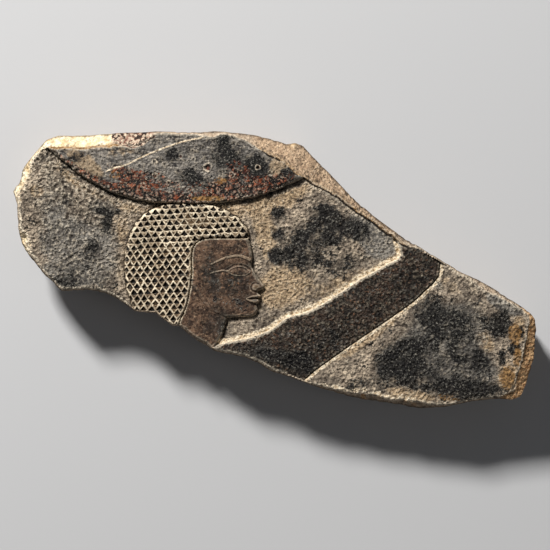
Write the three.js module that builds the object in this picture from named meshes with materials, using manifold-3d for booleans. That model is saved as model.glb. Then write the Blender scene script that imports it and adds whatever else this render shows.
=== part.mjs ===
// A broken piece of a limestone wall, carved in low raised relief and lying on its back, relief up.
// A round basket fills the top. Under it is the head of a bearer in profile, in a short wig of small
// curls, and the bearer's arm reaches out to the right and turns up at the elbow.
// The back is sawn flat. Every other side is an old break.
import * as THREE from 'three';
import { mergeGeometries, mergeVertices } from 'three/addons/utils/BufferGeometryUtils.js';
import Module from 'manifold-3d';

const wasm = await Module();
wasm.setup();
const { Manifold, Mesh: SolidMesh } = wasm;

// Sizes in millimetres. Heights are along +Z, and every rise is counted from the carved ground.
const FRAGMENT_WIDTH = 367;
const GROUND_HEIGHT = 42;
const GROUND_SWELL = 0.5;
const BASKET_RISE = 3.8;
const BASKET_ROUND = 2.6;
const WIG_RISE = 4.2;
const WIG_ROUND = 2.8;
const FACE_RISE = 3.9;
const FEATURE_LIFT = 0.6;
const NECK_RISE = 2.5;
const NECK_ROUND = 1.6;
const ARM_RISE = 3.4;
const ARM_ROUND = 2.2;
const CURL_WIDTH = 5.1;
const CURL_ROW = 3.95;
const CURL_DEPTH = 1.3;
const CURL_RIDGE = 0.7;
const BREAK_DROP = 3;
const BREAK_SLOPE = 0.8;
const BREAK_UNDERCUT = 5;
const BREAK_ROUGHNESS = 0.9;
const EDGE_WEAR = 1.4;

// The break, drawn in millimetres round the whole piece, clockwise from the leftmost tip. A row is
// the outermost point of the break and, where the broken face can be seen from the front, the point
// on its upper edge. The drawing is fitted to the fragment's width.
const BREAK = [
  [-184, 55, -179.5, 54.5], [-178, 64, -174, 62.5], [-177.8, 70, -172.8, 68], [-170, 80],
  [-160.5, 90.8, -160.5, 85.2], [-153, 94, -155, 84.4], [-130, 94.2, -130, 85],
  [-118, 95.3, -119, 86.2], [-105, 96.3, -105.5, 86], [-97, 96.2, -97.5, 86.5],
  [-90, 96.3, -90, 90], [-84, 96.8], [-58, 96.2], [-50, 96.3, -50, 93.5], [-43, 97, -43, 93],
  [-36, 96.6], [-19, 95, -20, 90], [-10, 93.6, -12, 85], [4, 89.6, 2, 77.5], [8, 88, 7.5, 74.2],
  [14, 89, 12.5, 70], [19.5, 87.2, 16.5, 66], [26, 80, 21.5, 64], [39, 67, 36, 56],
  [53, 52, 50, 47], [70, 37, 67.5, 34.8], [90, 22.3, 87.5, 19], [101, 16], [112, 9.2],
  [129, -0.8], [136.5, -4.2], [143, -7.5, 141.5, -11.5], [152, -12.5, 149.5, -16],
  [160, -17.5, 158.5, -19.3], [178.5, -29.8], [182.3, -35, 178.8, -37],
  [183.3, -43, 177.3, -44.5], [181.3, -63, 173.5, -64], [176, -81, 168.5, -81],
  [172, -89.5, 166, -85.5], [166, -91.3, 162, -86.5], [157, -90.5], [138, -92.5],
  [119, -96.5], [100, -97.5, 99.5, -93], [82, -94, 82, -90.5], [60, -91, 61, -86.5],
  [50, -88.5, 51, -85.5], [28, -82], [11, -75.5], [-2, -71.5], [-11, -66], [-21, -61.5],
  [-41, -57.8], [-56, -49], [-67, -39.9], [-72, -39.6], [-83.5, -30.8], [-98, -29.4],
  [-110, -20.8], [-120, -16.5], [-131, -14.2], [-149.5, -15.2], [-161, -4.5],
  [-174, 11.5, -172.8, 13.5], [-177.5, 17.5, -173.2, 18], [-179.2, 24, -173.5, 23.5],
  [-180.3, 29], [-181, 46], [-182.3, 50.5],
];
const breakXs = BREAK.map(([x]) => x);
const breakYs = BREAK.map(([, y]) => y);
const drawnWidth = Math.max(...breakXs) - Math.min(...breakXs);
const scale = FRAGMENT_WIDTH / drawnWidth;
const drawnCentre = new THREE.Vector2(
  (Math.max(...breakXs) + Math.min(...breakXs)) / 2,
  (Math.max(...breakYs) + Math.min(...breakYs)) / 2,
);

// A drawn point in the part's frame.
const at = (x, y) => new THREE.Vector2(x, y).sub(drawnCentre).multiplyScalar(scale);
const drawn = (points) => points.map(([x, y]) => at(x, y));
const smooth = (points, steps) => new THREE.SplineCurve(drawn(points)).getSpacedPoints(steps);

// The basket's rounded bottom, which the break cuts off at both ends.
const basketOutline = [
  ...smooth([
    [-166, 93], [-159, 85], [-149, 76.5], [-135, 65.5], [-115, 54.3], [-90, 47.6],
    [-62, 45.9], [-35, 47], [-10, 51.8], [8, 58.5], [20, 64.5], [36, 76],
  ], 36),
  ...drawn([[36, 115], [-166, 115]]),
];

// The wig, down to the break below the nape.
const wigCrown = smooth([
  [-17.8, 21.5], [-19.6, 28.5], [-26, 36], [-37, 42.8], [-50, 45.4], [-62, 45.9], [-75, 45.2],
  [-89, 40.2], [-98.5, 30.5], [-104.8, 12], [-104.4, -10], [-99.5, -27], [-97, -46],
], 34);
const wigFront = smooth([
  [-66, -46], [-66.4, -38], [-61, -23], [-58, -5], [-58, 8], [-56, 17], [-48, 21.2], [-30, 21.5],
], 18);
const wigOutline = [...wigCrown, ...wigFront];

// The arm from the shoulder to the elbow, and the start of the forearm going up.
const armOutline = [
  ...smooth([
    [-52, -56], [-43, -53.5], [-34, -50.6], [-18, -47.4], [-3, -41.6], [8, -33.6],
    [22.5, -29.2], [35, -22.6], [50, -12.8], [60, -6], [70, -0.8], [79, 4.5],
  ], 22),
  ...drawn([
    [85.5, 7.5], [87.6, 10.5], [86.8, 15], [85, 21], [84, 34], [118, 34], [117, 7], [116.5, 0],
    [116, -4.2], [113, -9], [100, -21.5], [90, -29.1], [70, -42.8], [50, -56.4], [35, -67.1],
    [28, -72.2], [21.5, -78], [14, -92], [-52, -92],
  ]),
];

// The face has its own grid: three equal parts from the hair to the chin, forward from the brow.
const FACE_BROW = [-16.5, 21.5];
const FACE_PART = 18;
const face = (forward, up) => [
  FACE_BROW[0] + forward * FACE_PART,
  FACE_BROW[1] + (up - 3) * FACE_PART,
];
const faceOutline = [
  ...drawn([[-62, -8], [-62, 30], [-24, 30]]),
  ...smooth([
    face(-0.14, 3.08), face(-0.02, 2.7), face(0.05, 2.3), face(0.01, 1.94), face(0.14, 1.66),
    face(0.32, 1.4), face(0.48, 1.18), face(0.44, 1.04), face(0.26, 0.97), face(0.26, 0.88),
    face(0.37, 0.77), face(0.27, 0.67),
  ], 22),
  ...smooth([
    face(0.34, 0.61), face(0.29, 0.52), face(0.2, 0.43), face(0.25, 0.28), face(0.2, 0.09),
    face(0, -0.02), face(-0.55, -0.05), face(-1.05, -0.07), face(-1.45, 0.05), face(-1.85, 0.38),
    face(-2.2, 0.9),
  ], 18),
];
const neckOutline = drawn([
  [-72, -10], [-40, -10], [-33.5, -34], [-36.4, -45], [-42, -54], [-42, -72], [-72, -60],
]);

// A closed three.js geometry as a solid, and a solid as a geometry.
function solidOf(geometry) {
  geometry.deleteAttribute('normal');
  geometry.deleteAttribute('uv');
  const merged = mergeVertices(geometry);
  return new Manifold(new SolidMesh({
    numProp: 3,
    vertProperties: new Float32Array(merged.attributes.position.array),
    triVerts: new Uint32Array(merged.index.array),
  }));
}

function geometryOf(solid) {
  const { vertProperties, triVerts } = solid.getMesh();
  const geometry = new THREE.BufferGeometry();
  geometry.setAttribute('position', new THREE.BufferAttribute(vertProperties, 3));
  geometry.setIndex(new THREE.BufferAttribute(triVerts, 1));
  geometry.computeVertexNormals();
  return geometry;
}

// True where an outline of the relief holds the point.
function holds(outline, point) {
  let inside = false;
  outline.forEach((a, i) => {
    const b = outline[(i + 1) % outline.length];
    const crosses = a.y > point.y !== b.y > point.y;
    if (crosses && point.x < a.x + ((point.y - a.y) / (b.y - a.y)) * (b.x - a.x)) inside = !inside;
  });
  return inside;
}

const distanceTo = (outline, point) => Math.min(...outline.map((a, i) => {
  const edge = new THREE.Line3(
    new THREE.Vector3(a.x, a.y, 0),
    new THREE.Vector3(outline[(i + 1) % outline.length].x, outline[(i + 1) % outline.length].y, 0),
  );
  const here = new THREE.Vector3(point.x, point.y, 0);
  return edge.closestPointToPoint(here, true, new THREE.Vector3()).distanceTo(here);
}));

// Hand-cut unevenness from slow waves, and a broken surface from quick ones, both from -1 to 1.
const wave = (x, y) => Math.sin(x / 31 + 1.3) * Math.cos(y / 23 - 0.4) * 0.6
  + Math.sin((x + 2 * y) / 47) * 0.4;
const crumble = (i, j) => Math.sin(i * 2.17 + j * 5.3) * 0.6 + Math.sin(i * 4.71 - j * 3.1) * 0.4;

// The carved ground: a block whose top undulates, wider and deeper than the fragment.
const GROUND_CELL = 15;
const BEYOND = 20;
function groundBlock() {
  const width = FRAGMENT_WIDTH + 2 * BEYOND;
  const depth = (Math.max(...breakYs) - Math.min(...breakYs)) * scale + 2 * BEYOND;
  const columns = Math.round(width / GROUND_CELL);
  const rows = Math.round(depth / GROUND_CELL);
  const height = GROUND_HEIGHT + BEYOND;
  const block = new THREE.BoxGeometry(width, depth, height, columns, rows, 1);
  block.translate(0, 0, GROUND_HEIGHT - height / 2);
  const position = block.attributes.position;
  for (let i = 0; i < position.count; i += 1) {
    const swell = GROUND_SWELL * wave(position.getX(i), position.getY(i));
    if (position.getZ(i) > 0) position.setZ(i, GROUND_HEIGHT + swell);
  }
  return solidOf(block);
}

// A plate of the relief stands on the ground with rounded edges, and roots into it.
const PLATE_ROOT = 3;
const ROUND_SHARE = 0.6;
function plate(outline, rise, round) {
  const roundHeight = Math.min(round, rise * ROUND_SHARE);
  const geometry = new THREE.ExtrudeGeometry(new THREE.Shape(outline), {
    depth: rise + PLATE_ROOT - 2 * roundHeight,
    bevelThickness: roundHeight,
    bevelSize: round,
    bevelOffset: -round,
    bevelSegments: 3,
  });
  return solidOf(geometry.translate(0, 0, GROUND_HEIGHT - PLATE_ROOT + roundHeight));
}

// The face swells towards the cheek. Its shapes are cut upright and end under this dome, lifted.
const DOME_HEIGHT = 6;
function dome(lift) {
  const cheek = new THREE.SphereGeometry(1, 36, 18).rotateX(Math.PI / 2);
  cheek.scale(3.3 * FACE_PART, 3.1 * FACE_PART, DOME_HEIGHT);
  const { x, y } = at(...face(-1.3, 1.64));
  return solidOf(cheek.translate(x, y, GROUND_HEIGHT + FACE_RISE + lift - DOME_HEIGHT));
}

function upright(outline) {
  const depth = PLATE_ROOT + FACE_RISE + 2 * FEATURE_LIFT;
  const geometry = new THREE.ExtrudeGeometry(new THREE.Shape(outline), { depth, bevelEnabled: false });
  return solidOf(geometry.translate(0, 0, GROUND_HEIGHT - PLATE_ROOT));
}

// A band along a curve of the face, half as wide at its far end. Its width is a share of a face part.
function band(points, width) {
  const curve = new THREE.SplineCurve(drawn(points));
  const steps = 9;
  const side = (sign) => Array.from({ length: steps + 1 }, (_, i) => {
    const along = i / steps;
    const half = sign * width * FACE_PART * scale * (0.5 - along ** 3 / 4);
    const { x, y } = curve.getTangent(along);
    return new THREE.Vector2(-y, x).multiplyScalar(half).add(curve.getPoint(along));
  });
  return [...side(-1), ...side(1).reverse()];
}

// Two arcs that meet at the corners of an eye. Its sizes are shares of a face part too.
function almond(forward, up, length, height) {
  const eye = new THREE.Shape();
  eye.moveTo(forward + length / 2, up - height * 0.12);
  eye.quadraticCurveTo(forward, up + height * 1.15, forward - length / 2, up);
  eye.quadraticCurveTo(forward, up - height * 0.95, forward + length / 2, up - height * 0.12);
  return drawn(eye.getPoints(8).slice(0, -1).map((point) => face(point.x, point.y)));
}

// A low knob from an ellipsoid whose crown stands the given height over the ground.
function knob(forward, up, width, height, rise, swell) {
  const { x, y } = at(...face(forward, up));
  const ball = new THREE.SphereGeometry(FACE_PART * scale / 2, 14, 10).rotateX(Math.PI / 2);
  ball.scale(width, height, (2 * swell) / (FACE_PART * scale));
  return solidOf(ball.translate(x, y, GROUND_HEIGHT + rise - swell));
}

// The face in profile with the eye drawn full: brow, rimmed eye and its line, nose wing and lips.
function bearerFace() {
  const head = upright(faceOutline);
  const lifted = (outline) => upright(outline).intersect(head).intersect(dome(FEATURE_LIFT));
  const bands = [
    band([face(-0.02, 2.17), face(-0.45, 2.33), face(-1, 2.26), face(-1.55, 2.02)], 0.13),
    band([face(-0.86, 1.75), face(-1.2, 1.78), face(-1.6, 1.68)], 0.08),
    band([face(0.42, 0.75), face(0.12, 0.77), face(-0.2, 0.67)], 0.15),
    band([face(0.4, 0.57), face(0.1, 0.54), face(-0.18, 0.63)], 0.15),
  ];
  const eyeRim = lifted(almond(-0.48, 1.74, 0.86, 0.41)).subtract(upright(almond(-0.48, 1.74, 0.69, 0.28)));
  const eyeball = knob(-0.48, 1.73, 0.66, 0.27, FACE_RISE + FEATURE_LIFT / 2, 1.4);
  const noseWing = knob(0.2, 1.1, 0.44, 0.36, FACE_RISE - 0.2, 1.2).intersect(head);
  return [head.intersect(dome(0)), ...bands.map(lifted), eyeRim, eyeball, noseWing];
}

// One curl is a notch with three sides, point up and deepest near its lower edge.
function curlNotch(centre, top) {
  const half = (CURL_WIDTH - CURL_RIDGE) / 2;
  const height = CURL_ROW - CURL_RIDGE;
  const spread = 1 + 1 / CURL_DEPTH;
  const deepest = new THREE.Vector3(centre.x, centre.y - height * 0.22, top - CURL_DEPTH);
  const corners = [[-half, -height / 2], [half, -height / 2], [0, height / 2]].map(([x, y]) => {
    const corner = new THREE.Vector3(centre.x + x, centre.y + y, top);
    return corner.sub(deepest).multiplyScalar(spread).add(deepest);
  });
  const notch = new THREE.BufferGeometry().setFromPoints([...corners, deepest]);
  notch.setIndex([0, 1, 2, 1, 0, 3, 2, 1, 3, 0, 2, 3]);
  return notch;
}

// Rows of curls, each row half a curl out of step with the next, sinking slightly to the back.
const CURL_SINK = 0.05;
const CURL_MARGIN = 1.9;
function wigCurls() {
  const first = at(-20, 23.6);
  const xs = wigOutline.map((point) => point.x);
  const ys = wigOutline.map((point) => point.y);
  const columns = Math.ceil((first.x - Math.min(...xs)) / CURL_WIDTH);
  const rowsUp = Math.ceil((Math.max(...ys) - first.y) / CURL_ROW) + 1;
  const rowsDown = Math.ceil((first.y - Math.min(...ys)) / CURL_ROW);
  const notches = [];
  for (let row = -rowsDown; row <= rowsUp; row += 1) {
    for (let column = 0; column < columns; column += 1) {
      const back = (column + (Math.abs(row) % 2) / 2) * CURL_WIDTH;
      const centre = new THREE.Vector2(first.x - back, first.y + row * CURL_ROW - back * CURL_SINK);
      if (holds(wigOutline, centre) && distanceTo(wigOutline, centre) > CURL_MARGIN) {
        notches.push(curlNotch(centre, GROUND_HEIGHT + WIG_RISE));
      }
    }
  }
  return solidOf(mergeGeometries(notches));
}

function relief() {
  const figures = [
    plate(basketOutline, BASKET_RISE, BASKET_ROUND),
    plate(armOutline, ARM_RISE, ARM_ROUND),
    plate(neckOutline, NECK_RISE, NECK_ROUND),
    ...bearerFace(),
    plate(wigOutline, WIG_RISE, WIG_ROUND).subtract(wigCurls()),
  ];
  return figures.reduce((all, figure) => all.add(figure), groundBlock());
}

// How high the carved front stands where the break meets it.
function riseAt(point) {
  const plates = [
    [basketOutline, BASKET_RISE],
    [armOutline, ARM_RISE],
    [wigOutline, WIG_RISE],
    [neckOutline, NECK_RISE],
  ];
  return Math.max(0, ...plates.map(([outline, rise]) => (holds(outline, point) ? rise : 0)));
}

function inward(index, reach) {
  const count = BREAK.length;
  const [ax, ay] = BREAK[(index - reach + count) % count];
  const [bx, by] = BREAK[(index + reach) % count];
  return new THREE.Vector2(by - ay, ax - bx).normalize();
}

// The points of the break at one row: above the front, on its edge, halfway down the slope, at the
// outermost line, and down the undercut side to the back.
const HIGHEST = GROUND_HEIGHT + 2 + Math.max(BASKET_RISE, WIG_RISE, FACE_RISE, ARM_RISE);
function breakStation([x, y, edgeX, edgeY], index) {
  const outer = at(x, y);
  const edge = edgeX === undefined
    ? inward(index, 1).multiplyScalar(EDGE_WEAR).add(outer)
    : at(edgeX, edgeY);
  const drop = BREAK_DROP + BREAK_SLOPE * edge.distanceTo(outer);
  const edgeHeight = GROUND_HEIGHT + riseAt(edge);
  const top = edge.clone().sub(outer).multiplyScalar((HIGHEST - edgeHeight) / drop).add(edge);
  const half = edge.clone().lerp(outer, 0.5 + 0.12 * crumble(index, 1));
  const outerHeight = edgeHeight - drop;
  const towards = inward(index, 3);
  const side = (share, level, height) => {
    const undercut = BREAK_UNDERCUT * share * (1 + 0.35 * crumble(index * 0.3, 7));
    const cut = Math.max(undercut + BREAK_ROUGHNESS * crumble(index, level), 0.2);
    return [outer.x + towards.x * cut, outer.y + towards.y * cut, height];
  };
  return [
    [top.x, top.y, HIGHEST],
    [edge.x, edge.y, edgeHeight],
    [half.x, half.y, edgeHeight - drop * 0.42],
    [outer.x, outer.y, outerHeight],
    side(0.35, 2, outerHeight * 0.66),
    side(0.75, 3, outerHeight * 0.3),
    side(1.2, 4, 0),
  ];
}

// The broken slab, from rings through all the rows.
function brokenSlab() {
  const stations = BREAK.map(breakStation);
  const rings = stations[0].map((_, level) => stations.map((station) => station[level]));
  const count = stations.length;
  const triangles = [];
  for (let level = 0; level + 1 < rings.length; level += 1) {
    for (let i = 0; i < count; i += 1) {
      const a = level * count + i;
      const b = level * count + ((i + 1) % count);
      triangles.push(a, b, a + count, b, b + count, a + count);
    }
  }
  const cap = (ring) => THREE.ShapeUtils.triangulateShape(
    ring.map(([x, y]) => new THREE.Vector2(x, y)),
    [],
  );
  const last = (rings.length - 1) * count;
  cap(rings[0]).forEach(([a, b, c]) => triangles.push(a, b, c));
  cap(rings.at(-1)).forEach(([a, b, c]) => triangles.push(last + a, last + c, last + b));
  const slab = new THREE.BufferGeometry();
  slab.setAttribute('position', new THREE.Float32BufferAttribute(rings.flat(2), 3));
  slab.setIndex(triangles);
  return solidOf(slab);
}

const limestone = new THREE.MeshStandardMaterial({
  color: 0x8c8072,
  roughness: 0.9,
  metalness: 0,
  flatShading: true,
});
const fragment = new THREE.Mesh(geometryOf(brokenSlab().intersect(relief())), limestone);
fragment.name = 'relief_fragment';

const part = new THREE.Group();
part.add(fragment);
export default part;
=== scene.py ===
import bpy
import numpy as np
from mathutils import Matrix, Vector
from mathutils.geometry import delaunay_2d_cdt


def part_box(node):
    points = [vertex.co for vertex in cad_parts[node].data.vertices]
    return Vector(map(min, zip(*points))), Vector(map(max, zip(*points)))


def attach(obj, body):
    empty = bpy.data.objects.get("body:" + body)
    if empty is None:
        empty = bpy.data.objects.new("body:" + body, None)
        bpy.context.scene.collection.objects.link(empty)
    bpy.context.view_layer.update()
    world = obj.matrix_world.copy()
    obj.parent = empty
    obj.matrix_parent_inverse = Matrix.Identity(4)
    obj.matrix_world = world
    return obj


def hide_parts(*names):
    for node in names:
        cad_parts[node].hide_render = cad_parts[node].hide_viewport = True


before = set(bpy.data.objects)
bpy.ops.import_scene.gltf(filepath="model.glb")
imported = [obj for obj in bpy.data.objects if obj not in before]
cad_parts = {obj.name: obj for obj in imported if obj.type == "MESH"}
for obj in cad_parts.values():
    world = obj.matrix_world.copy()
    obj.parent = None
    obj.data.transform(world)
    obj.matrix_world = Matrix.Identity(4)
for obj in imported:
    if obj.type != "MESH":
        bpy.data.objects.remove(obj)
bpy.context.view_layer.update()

MM = 0.001

# The height of the ground over the back, how far each figure rises over the ground, and how deep the
# groove along the arm and the trench round the figures are.
GROUND = 42.0
BASKET_RISE = 3.8
WIG_RISE = 4.2
FACE_RISE = 3.9
NECK_RISE = 2.5
ARM_RISE = 3.4
GROOVE_DEPTH = 0.95
TRENCH_DEPTH = 0.3

# How far in from its outline each figure's rounded edge goes.
BASKET_ROUND = 2.8
WIG_ROUND = 2.6
FACE_ROUND = 2.4
NECK_ROUND = 2.2
ARM_ROUND = 2.3

# The wig's curls: their width, the rows' spacing, the notches' depth, the ridge between two notches, how
# far a row sinks for each millimetre to the back, and the notch that rows and columns are counted from.
CURL_WIDTH = 5.1
CURL_ROW = 3.95
CURL_DEPTH = 1.6
CURL_RIDGE = 0.5
CURL_SINK = 0.05
WIG_START = (-20.0, 23.6)

# The breaks: how far their faces drop and slope, how far the sides lean in below and at most, how much of
# the edge is worn where no broken face is seen, and how the highest points stay under the solid's top.
BREAK_DROP = 3.0
BREAK_SLOPE = 0.8
BREAK_UNDERCUT = 5.0
DEEPEST_SIDE = 9
EDGE_WEAR = 1.4
TOP_EASE = 0.8
TOP_MARGIN = 0.05

# The break round the piece, clockwise from the leftmost tip: the outermost point and, where the
# broken face can be seen from the front, the point on its upper edge.
BREAK = [
    (-184, 55, -179.5, 54.5), (-178, 64, -174, 62.5), (-177.8, 70, -172.8, 68), (-170, 80),
    (-160.5, 90.8, -160.5, 85.2), (-153, 94, -155, 84.4), (-130, 94.2, -130, 85),
    (-118, 95.3, -119, 86.2), (-105, 96.3, -105.5, 86), (-97, 96.2, -97.5, 86.5),
    (-90, 96.3, -90, 90), (-84, 96.8), (-58, 96.2), (-50, 96.3, -50, 93.5), (-43, 97, -43, 93),
    (-36, 96.6), (-19, 95, -20, 90), (-10, 93.6, -12, 85), (4, 89.6, 2, 77.5), (8, 88, 7.5, 74.2),
    (14, 89, 12.5, 70), (19.5, 87.2, 16.5, 66), (26, 80, 21.5, 64), (39, 67, 36, 56),
    (53, 52, 50, 47), (70, 37, 67.5, 34.8), (90, 22.3, 87.5, 19), (101, 16), (112, 9.2),
    (129, -0.8), (136.5, -4.2), (143, -7.5, 141.5, -11.5), (152, -12.5, 149.5, -16),
    (160, -17.5, 158.5, -19.3), (178.5, -29.8), (182.3, -35, 178.8, -37),
    (183.3, -43, 177.3, -44.5), (181.3, -63, 173.5, -64), (176, -81, 168.5, -81),
    (172, -89.5, 166, -85.5), (166, -91.3, 162, -86.5), (157, -90.5), (138, -92.5),
    (119, -96.5), (100, -97.5, 99.5, -93), (82, -94, 82, -90.5), (60, -91, 61, -86.5),
    (50, -88.5, 51, -85.5), (28, -82), (11, -75.5), (-2, -71.5), (-11, -66), (-21, -61.5),
    (-41, -57.8), (-56, -49), (-67, -39.9), (-72, -39.6), (-83.5, -30.8), (-98, -29.4),
    (-110, -20.8), (-120, -16.5), (-131, -14.2), (-149.5, -15.2), (-161, -4.5),
    (-174, 11.5, -172.8, 13.5), (-177.5, 17.5, -173.2, 18), (-179.2, 24, -173.5, 23.5),
    (-180.3, 29), (-181, 46), (-182.3, 50.5),
]
rim_rows = np.array([row[:2] for row in BREAK], float)
drawn_low = rim_rows.min(axis=0)
drawn_high = rim_rows.max(axis=0)
DRAWN_CENTRE = (drawn_low + drawn_high) / 2
stone_low, stone_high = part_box("relief_fragment")
SCALE = (stone_high.x - stone_low.x) / MM / (drawn_high[0] - drawn_low[0])
HIGHEST = stone_high.z / MM / SCALE - TOP_MARGIN


# Curves, outlines and distances.
def even(line, spacing, closed=False):
    """A line at even steps of about the given spacing. Columns after the second go along with them."""
    along = np.concatenate([[0], np.cumsum(np.hypot(*np.diff(line[:, :2], axis=0).T))])
    stops = np.linspace(0, along[-1], max(2, round(along[-1] / spacing)), endpoint=not closed)
    return np.stack([np.interp(stops, along, column) for column in line.T], axis=1)


def looped(line):
    """A closed line with its first point again at its end."""
    return np.vstack([line, line[:1]])


def smooth(points, spacing=2.0):
    """A smooth curve through the points."""
    knots = np.vstack([points[:1], points, points[-1:]]).astype(float)
    place = np.linspace(0, len(points) - 1, 24 * len(points), endpoint=False)
    index = place.astype(int)
    t = (place - index)[:, None]
    a, b, c, d = (knots[index + k] for k in range(4))
    bend = (2 * a - 5 * b + 4 * c - d) * t**2 + (3 * b - a - 3 * c + d) * t**3
    return even(np.vstack([b + ((c - a) * t + bend) / 2, knots[-1:]]), spacing)


def off_line(x, y, line):
    """Distance to an open line, and how far along it, from 0 to 1, the nearest point is."""
    nearest = np.full(x.shape, np.inf)
    along = np.zeros(x.shape)
    count = len(line) - 1
    for n, ((ax, ay), (bx, by)) in enumerate(zip(line[:-1], line[1:])):
        dx, dy = bx - ax, by - ay
        share = np.clip(((x - ax) * dx + (y - ay) * dy) / (dx * dx + dy * dy), 0, 1)
        gap = (x - ax - share * dx) ** 2 + (y - ay - share * dy) ** 2
        along = np.where(gap < nearest, (n + share) / count, along)
        nearest = np.minimum(nearest, gap)
    return np.sqrt(nearest), along


def gap_to(x, y, line):
    return off_line(x, y, line)[0]


def within(x, y, outline):
    """Distance to a closed outline, positive inside it and negative outside."""
    inside = np.zeros(x.shape, bool)
    for (ax, ay), (bx, by) in zip(outline, np.roll(outline, -1, axis=0)):
        if ay != by:
            inside ^= ((ay > y) != (by > y)) & (x < ax + (y - ay) / (by - ay) * (bx - ax))
    return gap_to(x, y, looped(outline)) * np.where(inside, 1, -1)


def shoulder(inside, width):
    """A rounded edge: 0 outside, rising steeply at the outline and levelling to 1 over the width."""
    t = np.clip(inside / width, 0, 1)
    return np.sqrt(1 - (1 - t) ** 2)


def ease(value, low, high):
    """0 below low, 1 above high and smooth between. It runs the other way where low is the higher."""
    t = np.clip((value - low) / (high - low), 0, 1)
    return t * t * (3 - 2 * t)


def hump(distance, width):
    """1 at no distance, 0.37 at the width and almost nothing at twice the width."""
    return np.exp(-((distance / width) ** 2))


def patch(x, y, centre_x, centre_y, half_width, half_height, turn=0.0, fullness=1):
    """A soft oval mask: 1 in its middle and 0.37 at its edge. A fuller one falls off later and faster."""
    angle = np.radians(turn)
    u = (x - centre_x) * np.cos(angle) + (y - centre_y) * np.sin(angle)
    v = (y - centre_y) * np.cos(angle) - (x - centre_x) * np.sin(angle)
    return np.exp(-(((u / half_width) ** 2 + (v / half_height) ** 2) ** fullness))


# Noise for a worn and a broken surface. Its tables of random numbers repeat after so many cells.
WAVE_CELLS = 97
GRAIN_CELLS = 89
CURL_CELLS = 64


def waves(x, y, size, seed):
    """Smooth noise from -1 to 1 with features of the given size."""
    table = np.random.default_rng(seed).uniform(-1, 1, (WAVE_CELLS, WAVE_CELLS))
    turn = seed * 1.7
    u = (x * np.cos(turn) + y * np.sin(turn)) / size
    v = (y * np.cos(turn) - x * np.sin(turn)) / size
    i, j = np.floor(u).astype(int), np.floor(v).astype(int)
    s, t = u - i, v - j
    s, t = s * s * (3 - 2 * s), t * t * (3 - 2 * t)
    left, right = i % WAVE_CELLS, (i + 1) % WAVE_CELLS
    below, above = j % WAVE_CELLS, (j + 1) % WAVE_CELLS
    low = table[left, below] * (1 - s) + table[right, below] * s
    high = table[left, above] * (1 - s) + table[right, above] * s
    return low * (1 - t) + high * t


def rough(x, y, size, seed, octaves=3):
    """Waves of halving size and strength, from about -1 to 1."""
    layers = [waves(x, y, size / 2**n, seed + n) / 2**n for n in range(octaves)]
    return sum(layers) / 1.4


def nearby_cells(u, v, numbers):
    """Each of the nine cells round each point: the way from its corner to the point, and its own numbers."""
    i, j = np.floor(u).astype(int), np.floor(v).astype(int)
    for di in (-1, 0, 1):
        for dj in (-1, 0, 1):
            yield u - i - di, v - j - dj, numbers[:, (i + di) % GRAIN_CELLS, (j + dj) % GRAIN_CELLS]


def grains(x, y, cell, seed, chance=1.0):
    """Round grains strewn one to a cell, 1 in a grain's middle and 0 off it. chance may be a mask."""
    numbers = np.random.default_rng(seed).random((4, GRAIN_CELLS, GRAIN_CELLS))
    highest = np.zeros(x.shape)
    for du, dv, (shift_x, shift_y, radius, luck) in nearby_cells(x / cell, y / cell, numbers):
        gap = np.hypot(du - shift_x, dv - shift_y)
        grain = np.clip(1 - (gap / (0.25 + 0.45 * radius)) ** 2, 0, 1)
        highest = np.maximum(highest, grain * (luck < chance))
    return highest


def facets(u, v, cell, seed):
    """The highest of the humps and slants round each point: flat-sided lumps with sharp creases."""
    numbers = np.random.default_rng(seed).uniform(-1, 1, (5, GRAIN_CELLS, GRAIN_CELLS))
    highest = np.full(u.shape, -9.0)
    for du, dv, (shift_u, shift_v, level, slant_u, slant_v) in nearby_cells(u / cell, v / cell, numbers):
        du = du - 0.5 - shift_u * 0.45
        dv = dv - 0.5 - shift_v * 0.45
        lump = 0.3 * level + 0.5 * (slant_u * du + slant_v * dv) - 0.9 * (du**2 + dv**2)
        highest = np.maximum(highest, lump)
    return highest


# The carving's outlines.
basket_outline = np.vstack([
    smooth([(-166, 93), (-159, 85), (-149, 76.5), (-135, 65.5), (-115, 54.3), (-90, 47.6),
            (-62, 45.9), (-35, 47), (-10, 51.8), (8, 58.5), (20, 64.5), (36, 76)]),
    [(36, 115), (-166, 115)],
])
WIG_FRONT = [(-66, -46), (-66.4, -38), (-61, -23), (-58, -5), (-58, 8)]
wig_front_edge = smooth([*WIG_FRONT, (-57, 15)])
wig_outline = np.vstack([
    smooth([(-17.8, 21.5), (-19.6, 28.5), (-26, 36), (-37, 42.8), (-50, 45.4), (-62, 45.9),
            (-75, 45.2), (-89, 40.2), (-98.5, 30.5), (-104.8, 12), (-104.4, -10), (-99.5, -27),
            (-97, -46)]),
    smooth([*WIG_FRONT, (-56, 17), (-48, 21.2), (-30, 21.5)]),
])
ARM_TOP = [
    (-18, -47.4), (-3, -41.6), (8, -33.6), (22.5, -29.2), (35, -22.6), (50, -12.8), (60, -6), (70, -0.8),
    (79, 4.5),
]
ELBOW = [(85.5, 7.5), (87.6, 10.5), (86.8, 15), (85, 21)]
arm_upper_edge = smooth([(-38, -51.5), *ARM_TOP, *ELBOW])
arm_lower_edge = np.array([
    (117, 7), (116.5, 0), (116, -4.2), (113, -9), (100, -21.5), (90, -29.1), (70, -42.8), (50, -56.4),
    (35, -67.1), (28, -72.2), (21.5, -78),
])
arm_outline = np.vstack([
    smooth([(-52, -56), (-43, -53.5), (-34, -50.6), *ARM_TOP]),
    ELBOW,
    [(84, 34), (118, 34)],
    arm_lower_edge,
    [(14, -92), (-52, -92)],
])
neck_outline = np.array([(-72, -10), (-40, -10), (-33.5, -34), (-36.4, -45), (-42, -54), (-42, -72),
                         (-72, -60)], float)

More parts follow.
